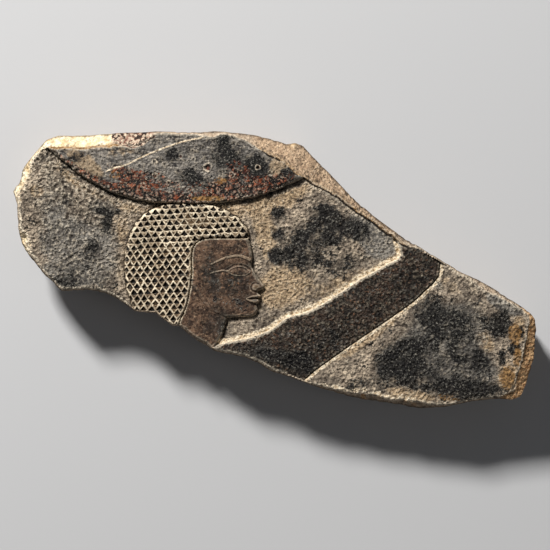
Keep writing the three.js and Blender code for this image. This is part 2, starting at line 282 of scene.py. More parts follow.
# The face has its own grid: three equal parts from the hair to the chin, forward from the brow.
FACE_BROW = (-16.5, 21.5)
FACE_PART = 18.0


def face(forward, up):
    return FACE_BROW[0] + forward * FACE_PART, FACE_BROW[1] + (up - 3) * FACE_PART


def face_line(*points):
    return smooth([face(*point) for point in points], 0.8)


face_outline = np.vstack([
    [(-62, -8), (-62, 30), (-24, 30)],
    face_line((-0.14, 3.08), (-0.02, 2.7), (0.05, 2.3), (0.01, 1.94), (0.14, 1.66), (0.32, 1.4),
              (0.48, 1.18), (0.44, 1.04), (0.26, 0.97), (0.26, 0.88), (0.37, 0.77), (0.27, 0.67)),
    face_line((0.34, 0.61), (0.29, 0.52), (0.2, 0.43), (0.25, 0.28), (0.2, 0.09), (0, -0.02),
              (-0.55, -0.05), (-1.05, -0.07), (-1.45, 0.05), (-1.85, 0.38), (-2.2, 0.9)),
])
EYE_LEVEL = 1.74
eye_outline = np.vstack([
    face_line((-0.09, 1.7), (-0.24, 1.83), (-0.47, 1.89), (-0.7, 1.84), (-0.88, 1.73)),
    face_line((-0.72, 1.64), (-0.48, 1.6), (-0.27, 1.62)),
])
brow_line = face_line((-0.02, 2.17), (-0.45, 2.33), (-1, 2.26), (-1.55, 2.02))
eye_tail = face_line((-0.88, 1.74), (-1.2, 1.76), (-1.6, 1.66))
upper_lip = face_line((0.4, 0.75), (0.1, 0.77), (-0.19, 0.67))
lower_lip = face_line((0.37, 0.57), (0.08, 0.55), (-0.17, 0.65))
mouth_slit = face_line((0.36, 0.67), (0.08, 0.67), (-0.22, 0.66))

# The face's soft forms, as ovals on its grid: middle, half width, half height and rise in millimetres.
FACE_FORMS = [
    (-0.42, 1.8, 0.6, 0.26, -0.8), (-0.8, 1.25, 0.5, 0.35, 0.45), (-0.65, 0.72, 0.35, 0.3, -0.3),
    (0.0, 0.2, 0.25, 0.18, 0.3), (0.12, 0.42, 0.2, 0.08, -0.4), (0.18, 0.87, 0.08, 0.09, -0.25),
]


# What lies on the front: a burst pocket at the top, rings, craters and an inner arc. Rings and craters
# have their middle and radius, and rings their strength.
POCKET = np.array([
    (-114.8, 92.8), (-112.7, 89.3), (-107.1, 86.5), (-100.1, 84.4), (-94.5, 85.8), (-87.5, 90), (-84, 93.5),
    (-85.4, 97.5), (-112.7, 97.5),
])
RINGS = [
    (-47, 71.8, 2.9, 1.2), (-12, 71.8, 1.9, 1.05), (-84.7, 75.3, 1.9, 1), (-84, 65.5, 1.8, 0.8),
    (-26.6, 82, 1.3, 0.6), (-74.5, 60.5, 1.3, 0.6), (-112, 72, 2.2, 0.7), (-3.5, 67, 1.7, 0.7),
    (-30, 66, 1.6, 0.55), (-44, 60, 1.4, 0.5), (-92, 58.5, 1.4, 0.5), (-101, 70, 1.5, 0.6),
    (-66, 79, 1.3, 0.45), (-91, 69, 1.2, 0.4), (-77, 72.5, 1, 0.4), (-57, 77, 1.1, 0.45),
]
CRATERS = [
    (4.9, 38, 4.2), (0.7, 25.5, 3.8), (14.5, 12.5, 3), (5, 10.5, 2.6), (-118, 29.5, 3.4),
    (-167, 54.5, 5), (24, 33, 2.4), (10, 20, 2),
]
arc = smooth([
    (-119.7, 67.6), (-112.7, 71), (-104.3, 73.2), (-95.9, 77.4), (-84.7, 82.3), (-73.5, 86.5), (-62.3, 90),
    (-48.3, 92.8),
])


# The carving's heights over the ground.
def notch(x, y, row):
    """A wig curl's notch in the given row: a triangle, point up, over a shallower one, point down."""
    back = WIG_START[0] - x
    stagger = (np.abs(row) % 2) / 2
    column = np.round(back / CURL_WIDTH - stagger)
    centre_back = (column + stagger) * CURL_WIDTH
    luck = np.random.default_rng(35).random((4, CURL_CELLS, CURL_CELLS))
    shift_x, shift_y, size, shallow = luck[:, row.astype(int) % CURL_CELLS, column.astype(int) % CURL_CELLS]
    across = np.abs(x - WIG_START[0] + centre_back + 0.5 * (shift_x - 0.5))
    across = across / ((CURL_WIDTH - CURL_RIDGE) / 2)
    centre_y = WIG_START[1] + row * CURL_ROW - centre_back * CURL_SINK + 0.4 * (shift_y - 0.5)
    grown = 0.94 + 0.16 * size
    across = across / grown
    up = (y - centre_y) / (CURL_ROW - CURL_RIDGE) / grown
    upper = np.minimum(0.52 - up, (up + 0.5) * 5) - across * 0.86
    upper = ease(np.where(up > -0.5, upper, -1), -0.08, 0.22)
    lower = 0.7 - across * 0.66 + (up + 0.42) * 0.85
    lower = ease(np.where(up < -0.4, lower, -1), 0.0, 0.35) * ease(y, 24, 10)
    return np.maximum(upper, 0.55 * lower) * (1 - 0.45 * ease(shallow, 0.5, 1.0))


def curl_pits(x, y, on_wig):
    """How deep the notches of the curls are, in rows that sink to the back, point up."""
    sway_x = x + 0.45 * waves(x, y, 6, 33)
    sway_y = y + 0.4 * waves(x, y, 7, 34)
    row = np.round((sway_y - WIG_START[1] + (WIG_START[0] - sway_x) * CURL_SINK) / CURL_ROW)
    depth = np.maximum(notch(sway_x, sway_y, row), notch(sway_x, sway_y, row + 1))
    worn = patch(x, y, -59, 30, 11, 7) + patch(x, y, -69, 15, 13, 5) + patch(x, y, -48, 34, 8, 4)
    wear = np.clip(0.45 * worn + 0.3 * waves(x, y, 3, 31), 0, 0.6)
    margin = ease(on_wig + 0.5 * waves(x, y, 3, 36), -0.3, 0.4)
    margin = margin * ease(gap_to(x, y, wig_front_edge), 1.5, 2.6)
    return depth * (1 - wear) * margin


def face_height(x, y, on_face):
    """A face in profile with the eye drawn full, calm, every third of it alike."""
    u = (x - FACE_BROW[0]) / FACE_PART
    v = (y - FACE_BROW[1]) / FACE_PART + 3
    dome = 6 * (1 - np.sqrt(np.clip(1 - ((u + 1.3) / 3.3) ** 2 - ((v - 1.64) / 3.1) ** 2, 0, 1)))
    jaw = ease(u, -0.95, -1.3)
    edge = shoulder(on_face, FACE_ROUND) * (1 - jaw) + ease(on_face, -3.5, 3.5) * jaw
    height = (FACE_RISE - dome) * edge
    on_eye = within(x, y, eye_outline)
    brow_gap, brow_along = off_line(x, y, brow_line)
    tail_gap, tail_along = off_line(x, y, eye_tail)
    upper_gap, upper_along = off_line(x, y, upper_lip)
    lower_gap, lower_along = off_line(x, y, lower_lip)
    wing = np.hypot((u - 0.2) / 0.17, (v - 1.11) / 0.15)
    shape = sum(rise * patch(u, v, *oval) for *oval, rise in FACE_FORMS)
    shape += shoulder(on_eye, 2.4) + 0.85 * hump(on_eye + 0.6, 0.5)
    shape -= 0.45 * hump(on_eye + 2.1, 0.4) * ease(v, EYE_LEVEL - 0.02, EYE_LEVEL + 0.1)
    shape += ease(brow_gap, 1.25 - 0.5 * brow_along, 0.85 - 0.5 * brow_along)
    shape += 0.7 * ease(tail_gap, 0.85 - 0.3 * tail_along, 0.5 - 0.3 * tail_along)
    shape += hump(upper_gap, 1.25 - 0.7 * upper_along)
    shape += hump(lower_gap, 1.35 - 0.7 * lower_along)
    shape -= hump(gap_to(x, y, mouth_slit), 0.35)
    shape += 0.8 * shoulder(1 - wing, 1) - 0.5 * hump(wing - 1.25, 0.16) * ease(u, 0.25, 0.1)
    shape -= 0.7 * patch(u, v, 0.31, 1.03, 0.05, 0.035)
    return height + shape * ease(on_face, 0.0, 1.2), shape


def arm_height(x, y, on_arm):
    """The arm stands highest along its upper edge, and sinks at its lower one into a groove."""
    lower_gap = gap_to(x, y, arm_lower_edge)
    rise = ARM_RISE * ease(lower_gap, -3, 27) * shoulder(on_arm, ARM_ROUND)
    return rise - GROOVE_DEPTH * hump(lower_gap - 0.9, 0.8) * ease(on_arm, -0.4, 0.2)


def carve(x, y):
    """The carved front at the given points: its height, its masks and how far inside each figure they lie.

    "lost" is the height that the breaks start from, where the figures run out over them.
    """
    wig_back = np.maximum(ease(x, -62, -68), ease(y, 24, 28))
    on = {
        "basket": within(x, y, basket_outline) + 0.5 * waves(x, y, 3.2, 38),
        "wig": within(x, y, wig_outline) + 0.7 * waves(x, y, 3.4, 37) * wig_back,
        "arm": within(x, y, arm_outline),
        "neck": within(x, y, neck_outline),
        "face": within(x, y, face_outline),
    }
    pits = curl_pits(x, y, on["wig"])
    wave = np.sin(x / 31 + 1.3) * np.cos(y / 23 - 0.4) * 0.3 + np.sin((x + 2 * y) / 47) * 0.2
    face_rise, feature = face_height(x, y, on["face"])
    basket = BASKET_RISE * shoulder(on["basket"], BASKET_ROUND)
    arm = arm_height(x, y, on["arm"])
    neck = NECK_RISE * shoulder(on["neck"], NECK_ROUND)
    wig = WIG_RISE * shoulder(on["wig"], WIG_ROUND) - CURL_DEPTH * pits
    figures = np.maximum.reduce([basket, arm, neck, face_rise, wig])
    figures = np.where(on["wig"] > 0, np.maximum(wig, basket), figures)
    others = np.maximum.reduce([on["basket"], on["neck"], on["face"], on["wig"]])
    figures = np.where((on["arm"] > -0.4) & (others < 0), arm, figures)
    off_figures = np.maximum.reduce(list(on.values()))
    by_arm = hump(gap_to(x, y, arm_upper_edge), 4)
    trench = TRENCH_DEPTH * hump(off_figures + 1.2, 1.4) * (off_figures < 0) * (1 - by_arm)
    height = GROUND + wave + figures - trench
    rises = {"basket": BASKET_RISE, "wig": WIG_RISE, "arm": ARM_RISE}
    lost = np.maximum.reduce([rise * ease(on[name], -9, 5) for name, rise in rises.items()])
    ground = 1 - ease(off_figures, -0.5, 0.5)
    cut = {"on": on, "ground": ground, "pits": pits, "feature": feature}
    return {**cut, "height": height, "lost": GROUND + wave + lost}


# The mesh: the carved front with its broken edge, the broken sides, and the sawn back. The steps are the
# spacing of its points. The bands say how far the finer points go from a figure's or a mark's outline.
FRONT_STEP = 1.04
RIM_STEP = 1.5
SIDE_STEP = 1.9
BACK_STEP = 4.5
ROW_TO_STEP = 0.866
HEAD_BAND = 0.8
FIGURE_BAND = 2.2
BREAK_BAND = 1.1
ARC_BAND = 1.2
RING_BAND = 1.4
RIM_GAP = 0.55

# How the triangles are made: only those inside the loop, with points this near each other as one.
INSIDE_ONLY = 1
SAME_POINT = 1e-6


def inward_of(line, reach=5):
    """The unit vectors that point into a clockwise closed line, averaged over its neighbours."""
    step = sum(np.roll(line, -k, axis=0) - np.roll(line, k, axis=0) for k in range(1, reach + 1))
    side = np.stack([step[:, 1], -step[:, 0]], axis=1)
    return side / np.hypot(*side.T)[:, None]


def rim_and_edge():
    """The outermost line of the break and the line where it meets the front, point for point."""
    worn = rim_rows + inward_of(rim_rows, 1) * EDGE_WEAR
    rows = np.array([row if len(row) == 4 else (*row, *worn[n]) for n, row in enumerate(BREAK)], float)
    points = even(looped(rows), RIM_STEP, closed=True)
    line, edge = points[:, :2], points[:, 2:]
    x, y = line.T
    inward = inward_of(line)
    width = np.hypot(*(edge - line).T)
    bite = np.clip(0.45 * rough(x, y, 6, 11) + 0.5 * waves(x, y, 2.6, 12), 0, 1)
    rim = line + inward * bite[:, None]
    shift = np.clip(width * 0.4, 0.3, 1.1) * rough(x, y, 5, 14) + 0.9 * bite
    return rim, edge + inward * shift[:, None]


def staggered(step):
    """A grid of even triangles over the whole piece: its points, and the column and row of each."""
    columns = np.arange(drawn_low[0], drawn_high[0], step)
    rows = np.arange(drawn_low[1], drawn_high[1], step * ROW_TO_STEP)
    i, j = np.meshgrid(np.arange(len(columns)), np.arange(len(rows)), indexing="ij")
    i, j = i.ravel(), j.ravel()
    return columns[i] + (j % 2) * step / 2, rows[j], i, j


def front_points(rim, edge):
    """A staggered grid inside the rim, finer on the head, along figures and breaks, and at small marks."""
    x, y, i, j = staggered(FRONT_STEP / 2)
    coarse = (j % 2 == 0) & ((i + (j // 2) % 2) % 2 == 0)
    keep = within(x, y, rim_rows) > 0.3
    x, y, coarse = x[keep], y[keep], coarse[keep]
    on_head = np.maximum(within(x, y, wig_outline), within(x, y, face_outline)) > -HEAD_BAND
    by_basket = np.abs(within(x, y, basket_outline)) < FIGURE_BAND
    by_arm = np.abs(within(x, y, arm_outline)) < FIGURE_BAND
    by_break = np.abs(within(x, y, edge[::2]) - 0.3) < BREAK_BAND
    by_break &= gap_to(x, y, looped(rim_rows)) > 3.5
    by_mark = gap_to(x, y, arc) < ARC_BAND
    for centre_x, centre_y, radius, _ in RINGS:
        by_mark |= np.hypot(x - centre_x, y - centre_y) < radius + RING_BAND
    keep = coarse | on_head | by_basket | by_arm | by_break | by_mark
    x, y = x[keep], y[keep]
    keep = within(x, y, rim) > RIM_GAP
    return np.stack([x[keep], y[keep]], axis=1)


# What time and breaks have done to the front: how far each mark rises or sinks. The tip is a knob of stone
# on the broken face at the top right.
ARC_RISE = 0.9
ARC_STEP = 0.35
CRUST_RISE = 1.3
RING_RISE = 1.1
RING_HOLE = 0.8
CRATER_RIM = 0.25
CRATER_DEPTH = 0.7
POCKET_GRAIN = 0.9
POCKET_DEPTH = 0.8
TIP = (13.5, 87.5)
TIP_RISE = 1.5
EDGE_NICK = 0.45
SEAM_DEPTH = 0.9
LIP_RISE = 0.7
WIDE_BREAK_DROP = 0.9

# The crust's spread over the basket, as soft ovals for many().
CRUST_SPREAD = [
    (-104, 66, 15, 7, 0.8, -25), (-86, 64, 16, 8, 0.45), (-60, 58, 34, 5, 0.45), (-30, 61, 18, 7, 0.75, 20),
    (-8, 62, 14, 5, 0.6, 25),
]


def many(x, y, spots):
    """The sum of soft ovals: middle, half width, half height, strength and, for a turned one, degrees."""
    total = np.zeros(x.shape)
    for centre_x, centre_y, half_width, half_height, strength, *turn in spots:
        total += strength * patch(x, y, centre_x, centre_y, half_width, half_height, *turn, fullness=2)
    return total


def crusted(x, y, on_basket):
    """Where the red grains cling: a belt along the basket's lower edge and a spread over it."""
    wide = np.interp(x, [-150, -105], [3.5, 11])
    belt = ease(on_basket, 0, 1) * ease(on_basket, wide, 0.4 * wide) * ease(x, -165, -150) * ease(x, 22, 2)
    return np.clip(belt + many(x, y, CRUST_SPREAD) * ease(on_basket, 0, 2), 0, 1)


def arc_line(x, y):
    """The thin raised line on the basket, and the slightly raised strip under it."""
    gap, along = off_line(x, y, arc)
    line = hump(gap, 0.6) * ease(along, 0, 0.04) * ease(along, 1, 0.97)
    over = np.interp(x, arc[:, 0], arc[:, 1]) - y
    under = ease(over, -0.3, 0.8) * ease(over, 9, 3) * ease(x, -122, -112) * ease(x, -45, -52)
    return line, under


def ring_marks(x, y):
    """The uneven little rings that have grown on the basket, and the holes in them."""
    ring = np.zeros(x.shape)
    hole = np.zeros(x.shape)
    for centre_x, centre_y, radius, strength in RINGS:
        gap = np.hypot(x - centre_x, y - centre_y) + 0.7 * waves(x, y, 1.8, 76)
        ring += strength * hump(gap - radius, 0.65) * (0.8 + 0.65 * waves(x, y, 2.3, 77))
        hole += strength * hump(gap, radius * 0.6)
    return ring, hole


def surface_wear(x, y, cut):
    """How far time has worn, pitted and crusted the carved front, in millimetres up or down."""
    ground = cut["ground"]
    left = ground * ease(x, -84, -104)
    wear = 0.26 * rough(x, y, 9, 51) + 0.2 * waves(x, y, 2.6, 55)
    pitted = np.clip(0.55 + 0.5 * rough(x, y, 16, 57) + 0.6 * patch(x, y, -145, 64, 30, 20), 0, 1.2)
    wear -= left * pitted * (0.9 * grains(x, y, 3.3, 61, 0.7) + 0.6 * grains(x, y, 2.2, 62, 0.6))
    wear -= (ground - left) * (0.55 * grains(x, y, 2.5, 63, 0.5) + 0.7 * grains(x, y, 4.6, 64, 0.16))
    line, under = arc_line(x, y)
    wear += ARC_RISE * line + ARC_STEP * under
    wear += cut["crust"] * (CRUST_RISE * cut["grain"] - 0.2)
    ring, ring_hole = ring_marks(x, y)
    wear += RING_RISE * ring - RING_HOLE * ring_hole
    for centre_x, centre_y, radius in CRATERS:
        gap = np.hypot(x - centre_x, y - centre_y) + 1.1 * waves(x, y, 2.8, 68)
        wear += CRATER_RIM * hump(gap - radius, 0.8) - CRATER_DEPTH * hump(gap, radius * 0.75)
    arm = ease(cut["on"]["arm"], 0, 1)
    wear += arm * (0.25 * rough(x, y, 3.2, 70) - 0.4 * grains(x, y, 2.3, 74, 0.45))
    basket = ease(cut["on"]["basket"], 0, 1)
    wear -= basket * 0.35 * grains(x, y, 2.4, 75, 0.25)
    return wear * (1 - 0.7 * cut["head"]) + 0.3 * rough(x, y, 2.4, 78, 2) * ease(cut["on"]["wig"], 0, 1)


def front(x, y, rim, edge):
    """The height of the front at the given points, and its masks."""
    cut = carve(x, y)
    on = cut["on"]
    cut["head"] = ease(np.maximum(on["wig"], on["face"]), -0.2, 0.8)
    cut["crust"] = crusted(x, y, on["basket"])
    cut["grain"] = np.maximum(grains(x, y, 2.8, 65, 0.75), 0.7 * grains(x, y, 1.7, 66, 0.7))
    cut["pocket"] = ease(within(x, y, POCKET) + 0.8 * waves(x, y, 3, 58), -0.2, 0.5)
    on_front = within(x, y, edge[::2])
    past = np.clip(-on_front, 0, None)
    width = past + gap_to(x, y, looped(rim[::2]))
    share = past / (width + 0.01)
    broken = ease(on_front, 0.15, -0.35)
    lumps = facets(x, y, 8, 41) + 0.35 * facets(x, y, 3.1, 42) + 0.2 * rough(x, y, 1.6, 43)
    height = (cut["height"] + surface_wear(x, y, cut)) * (1 - broken) + cut["lost"] * broken
    level_end = ease(x, 150, 165) * ease(y, -20, -34)
    height -= BREAK_SLOPE * past * (1 - 0.6 * level_end)
    height -= BREAK_DROP * share**1.6 * (1 - 0.8 * level_end)
    height += (lumps - 0.4) * np.clip(width / 7, 0.35, 1.3) * broken * ease(share, 0, 0.25)
    height += TIP_RISE * patch(x, y, *TIP, 3.2, 2.4) * broken
    height += cut["pocket"] * (POCKET_GRAIN * cut["grain"] - POCKET_DEPTH * (1 - broken))
    cut["crest"] = ease(x, -16, -8) * ease(y, 12, 20)
    unhealed = ease(rough(x, y, 5, 94) + ease(x, 25, 45), -0.1, 0.6)
    cut["seam"] = hump(on_front - 0.9, 0.8) * cut["crest"] * unhealed
    height -= EDGE_NICK * hump(np.clip(on_front, 0, None), 0.45) * (1 - broken) + SEAM_DEPTH * cut["seam"]
    height += LIP_RISE * hump(on_front + 0.7, 0.8) * cut["crest"]
    height -= WIDE_BREAK_DROP * broken * ease(width, 3, 7)
    line, _ = arc_line(x, y)
    cut.update(broken=broken, on_front=on_front, line=line, level_end=level_end)
    over = np.clip(height - HIGHEST + TOP_EASE, 0, None)
    return height - over + TOP_EASE * (1 - np.exp(-over / TOP_EASE)), cut


def sides(rim, top):
    """The broken sides, ring by ring from under the rim down to the back, each a little further in."""
    count = len(rim)
    levels = round(GROUND / SIDE_STEP)
    inward = inward_of(rim, 8)
    u = rim[:, 0] - rim[:, 1]
    rings = []
    for level in range(1, levels + 1):
        share = level / levels
        z = top * (1 - share)
        lumps = 2.2 * facets(u, z, 15, 71) + 0.9 * facets(u, z, 5, 72) + 0.35 * rough(u, z, 2.5, 73)
        depth = BREAK_UNDERCUT * (0.15 + 0.85 * share) * ease(share, 0, 0.25)
        depth += (0.6 - lumps) * ease(share, 0, 0.2)
        depth = np.clip(depth, 0.25 * share, DEEPEST_SIDE)
        rings.append(np.column_stack([rim + inward * depth[:, None], z]))
    return np.array(rings)


def back_points(loop):
    """A staggered grid inside the edge of the back."""
    x, y, _, _ = staggered(BACK_STEP)
    keep = within(x, y, loop) > BACK_STEP * 0.4
    return np.stack([x[keep], y[keep]], axis=1)


def fill(loop, inner):
    """Triangles over the points inside a clockwise loop. They face up, and the loop's points come first."""
    points = np.vstack([loop, inner])
    flat = [Vector(point) for point in points]
    around = list(range(len(loop)))[::-1]
    _, _, triangles, origins, _, _ = delaunay_2d_cdt(flat, [], [around], INSIDE_ONLY, SAME_POINT)
    place = np.array([origin[0] for origin in origins])
    triangles = place[np.array(triangles)]
    a, b, c = (points[triangles[:, k]] for k in range(3))
    turn = (b[:, 0] - a[:, 0]) * (c[:, 1] - a[:, 1]) - (b[:, 1] - a[:, 1]) * (c[:, 0] - a[:, 0])
    triangles[turn < 0] = triangles[turn < 0][:, ::-1]
    return triangles


def bend(points, triangles, span):
    """How far each point lies under the mean of its neighbours, over the square of their distance."""
    ends = np.vstack([triangles[:, [0, 1]], triangles[:, [1, 2]], triangles[:, [2, 0]]])
    ends = np.vstack([ends, ends[:, ::-1]])
    here, there = ends.T
    count = np.bincount(here, minlength=len(points))
    height = points[:, 2]
    reach = np.bincount(here, ((points[here, :2] - points[there, :2]) ** 2).sum(axis=1), len(points)) / count
    for _ in range(span):
        height = np.bincount(here, height[there], len(points)) / count
    return (height - points[:, 2]) / reach


# The saw's marks on the back, and the bend at which the masks of hollow and proud places are full.
SAW_RISE = 0.12
SAW_WAVE = 0.1
FULL_BEND = 0.35


def stone_mesh():
    """The whole closed mesh: its points in millimetres, its triangles, and the masks of its front points."""
    rim, edge = rim_and_edge()
    plan = np.vstack([rim, front_points(rim, edge)])
    height, cut = front(plan[:, 0], plan[:, 1], rim, edge)
    count = len(rim)
    rings = sides(rim, height[:count])
    levels = len(rings)
    loop = rings[-1][:, :2]
    inner = back_points(loop)
    saw = SAW_RISE + SAW_WAVE * np.sin(inner @ [0.35, 1.1]) * waves(*inner.T, 30, 81)
    points = np.vstack([
        np.column_stack([plan, height]),
        rings.reshape(-1, 3),
        np.column_stack([inner, np.clip(saw, 0, None)]),
    ])
    starts = [0] + [len(plan) + level * count for level in range(levels)]
    here = np.arange(count)
    following = np.roll(here, -1)
    walls = []
    for above, below in zip(starts[:-1], starts[1:]):
        walls.append(np.column_stack([above + here, above + following, below + following]))
        walls.append(np.column_stack([above + here, below + following, below + here]))
    back = fill(loop, inner)[:, ::-1] + starts[-1]
    face_up = fill(rim, plan[count:])
    triangles = np.vstack([face_up, *walls, back])
    masks = paint(plan[:, 0], plan[:, 1], cut)
    # The hollow mask lays dirt and painted shade in the hollows, the proud mask pale wear and painted
    # highlights.
    hollow = bend(points[:len(plan)], face_up, 2)
    masks["hollow"] = np.clip(hollow / FULL_BEND, 0, 1) * (1 - 0.8 * masks["pale"])
    masks["proud"] = np.clip(-hollow / FULL_BEND, 0, 1)
    return points, triangles, masks


# Where the stone's colours lie, as soft ovals for many().
DARK = [
    # The ground at the left.
    (-117, 41, 12, 3.5, 0.75, -8), (-118, 31, 5, 8, 0.6), (-128, 13, 7, 7, 0.65),
    (-145.5, 51, 4, 8, 0.45, 10), (-145, -8, 13, 6, 0.5), (-138, 4, 10, 9, 0.35),
    (-164, 77, 7, 4, 0.35, 30), (-106, 22, 5, 10, 0.2), (-172, 31, 7, 9, 0.25), (-160, 22, 7, 8, 0.2),
    (-133, 33, 6, 8, 0.25), (-118, -9, 9, 6, 0.4, -20),
    # The basket.
    (-72, 80, 5, 4.5, 0.95), (-36, 80, 10, 11, 0.72), (-13, 70, 10, 11, 0.9), (-38, 92, 8, 4, 0.5),
    (-60, 65, 9, 6, 0.62), (-50, 60, 11, 5, 0.62), (3, 62, 12, 4, 0.7, 30), (9, 67, 6, 4, 1, -35),
    (-25, 76, 6, 8, 0.4), (-142, 76, 4, 13, 0.6, -50), (-120, 62, 16, 3, 0.45, -28),
    (-60, 88, 12, 4, 0.2, 10), (-85, 68, 9, 5, 0.25),
    # The ground before the face.
    (3, 39, 6, 5, 0.7, -30), (1, 24, 6, 5.5, 0.75), (0, 9.5, 6, 5, 0.7), (36, 39, 11, 9, 0.8, -20),
    (56, 28, 14, 8, 0.7, -35), (29, 22, 24, 13, 0.72, 15), (12, 7, 15, 8, 0.58), (32, 0, 20, 9, 0.52),
    (57, 6, 11, 6, 0.5),
    # The ground at the lower right.
    (88, -61, 19, 14, 0.9, 20), (124, -42, 27, 22, 0.6), (106, -26, 16, 11, 0.45, -40),
    (158, -38, 8, 10, 0.95), (168, -55, 4, 5, 1.1), (172, -44, 2.5, 5, 0.9), (159, -63, 2.5, 6, 0.8),
    (136, -85, 24, 8, 1), (124, -70, 28, 12, 0.36), (145, -64, 8, 10, 0.5), (80, -76, 20, 9, 0.5, 25),
    (100, -78, 16, 9, 0.5), (58, -80, 12, 5, 0.4, 25),
    # The arm and the neck, with painted shade under the chin and jaw.
    (-5, -60, 24, 7, 0.5, -12), (18, -66, 15, 8, 0.55, -20), (38, -50, 20, 9, 0.35, 30),
    (-42, -10, 4, 13, 0.4, 5), (-21, -22, 10, 8, 0.35), (-35, -36, 6, 10, 0.4, -10),
]
DARK_GAPS = [(146.5, -50, 5, 9, 0.9, 30), (117.5, -55, 3, 5, 0.8)]
GREY = [
    (-125, 12, 20, 28, 0.7), (-150, 20, 18, 24, 0.7), (-158, 55, 16, 20, 0.45), (-150, -5, 22, 9, 0.7),
    (74, 20, 14, 14, 1.2, -30), (60, 30, 13, 9, 0.8, -35), (161, -24, 15, 6, 1.2, -30),
    (122, -45, 30, 26, 0.9), (130, -72, 28, 14, 1), (105, -5, 16, 6, 0.7, -30), (-118, 45, 16, 7, 0.5),
    (90, -62, 24, 14, 0.9, 30),
]
TAN = [
    (-167, 55, 7, 5, 0.8, -30), (-150, 66, 14, 14, 0.3, -30), (-108, 34, 8, 14, 0.4, 10),
    (146.5, -50, 6, 10, 1, 30), (171, -42, 5, 12, 0.9), (117.5, -55, 4, 6, 0.9), (163, -76, 8, 13, 0.8),
    (86, -77, 6, 4, 0.7), (95, -88, 20, 5, 0.9, -10), (68, -44, 34, 6, 0.9, 38), (45, -10, 24, 8, 0.6, 30),
    (5, -12, 24, 16, 0.9, 20), (-8, 30, 9, 26, 0.8, 10), (10, 48, 16, 6, 0.7, 25), (-108, 8, 6, 24, 0.5),
    (50, 45, 10, 6, 0.4, -35), (-30, 40, 14, 8, 0.5), (120, -10, 14, 5, 0.5, -35), (-176, 21, 3, 6, 1),
    (-176, 70, 3, 7, 0.8),
]
OCHRE = [
    (-47, 49.5, 13, 2, 0.9), (168, -45, 5, 8, 0.9), (163, -76, 6, 9, 0.8), (170, -62, 3.5, 8, 0.8),
    (121, -90, 12, 3, 0.45, -8), (-112, 66, 5, 4, 0.4), (-38, 62, 5, 3, 0.55), (-176, 22, 2.5, 5, 0.6),
]
RED = [
    (-27, 72, 9, 6, 0.45), (-12, 71.8, 1.2, 1.2, 1), (-66, 79, 1, 1, 0.9), (-47, 71.8, 2.3, 2.3, 0.8),
    (-84, 65.5, 1.2, 1.2, 0.7),
]
BARE = [
    (-133, 74, 18, 7, 0.9, -38), (2, 72, 6, 7, 1.4, -30), (-108, 82, 14, 4, 0.5, 10),
    (-95, 62, 8, 5, 0.4, -20),
]
# Where face and neck are darker: patina, and painted shade under the chin and jaw.
DARK_SKIN = [(-45, -2, 6, 14, 0.9, 8), (-28, -10, 12, 8, 0.8, 30), (-40, -38, 8, 14, 0.7)]
CHIPS = [(-178, 60, 7, 13, 1), (-177, 18, 6, 9, 1)]


def frayed_edges(x, y):
    """Where the edge of the front is chipped: all along the left, in two bites there, and at the foot."""
    at_left = ease(x, -160, -172)
    at_foot = ease(y, -66, -80) * ease(x, 20, 40) * ease(x, 125, 100)
    return at_left, many(x, y, CHIPS), at_foot


def pale_marks_and_highlights(x, y, cut):
    """Painted highlights along both edges of the arm and on the basket's arc, and the pale chipped edge of
    the front.
    """
    on_arm = cut["on"]["arm"]
    # Painted highlights on the arm's upper wall and the ground above it, and along the arm's lower edge.
    upper_arm = hump(gap_to(x, y, arm_upper_edge) + on_arm * 0.5, 1.3) * ease(on_arm, 1.2, 0.4)
    lower_arm = hump(gap_to(x, y, arm_lower_edge), 1.25) * ease(on_arm, 1.3, 0.4)
    at_left, chips, at_foot = frayed_edges(x, y)
    reach = 1.3 + 0.5 * at_left + 1.8 * chips + 2.5 * at_foot
    near_edge = np.clip(1 - cut["on_front"] / reach + 0.8 * rough(x, y, 4, 91), 0, 1)
    near_edge *= np.clip(0.35 + 0.25 * at_left + chips + at_foot, 0, 1) * (cut["on_front"] < 2 * reach)
    # Painted highlight on the arc line, and the pale chipped edge, both kept off the broken faces.
    return 1.4 * upper_arm + 1.3 * lower_arm + 0.9 * (cut["line"] + near_edge) * (1 - cut["broken"])


def break_masks(x, y, cut):
    """The masks of the broken faces and of what is on them and beside them."""
    broken = cut["broken"]
    at_left, chips, at_foot = frayed_edges(x, y)
    top_lip = ease(x, -106, -112) * ease(x, -164, -156) * ease(y, 70, 76)
    top_left = broken * ease(x, -112, -117) * ease(y, 60, 70)
    top_right = broken * ease(x, -25, -10) * ease(y, 15, 30)
    # Painted highlight: cream on the knob of stone at the top right.
    tip_highlight = 0.7 * patch(x, y, 13, 87.5, 4, 3)
    return {
        "broken": broken,
        "cream": top_left + broken * (at_left * (0.35 + 0.6 * chips) + tip_highlight),
        "rust": broken * (cut["level_end"] + at_foot * ease(rough(x, y, 6, 95), 0.0, 0.5)) + 0.4 * top_right,
        "pocket": cut["pocket"] * ease(x, -118, -114) * ease(x, -80, -84),
        "lip": hump(cut["on_front"] + 0.4, 1.0) * np.maximum(cut["crest"], top_lip),
    }


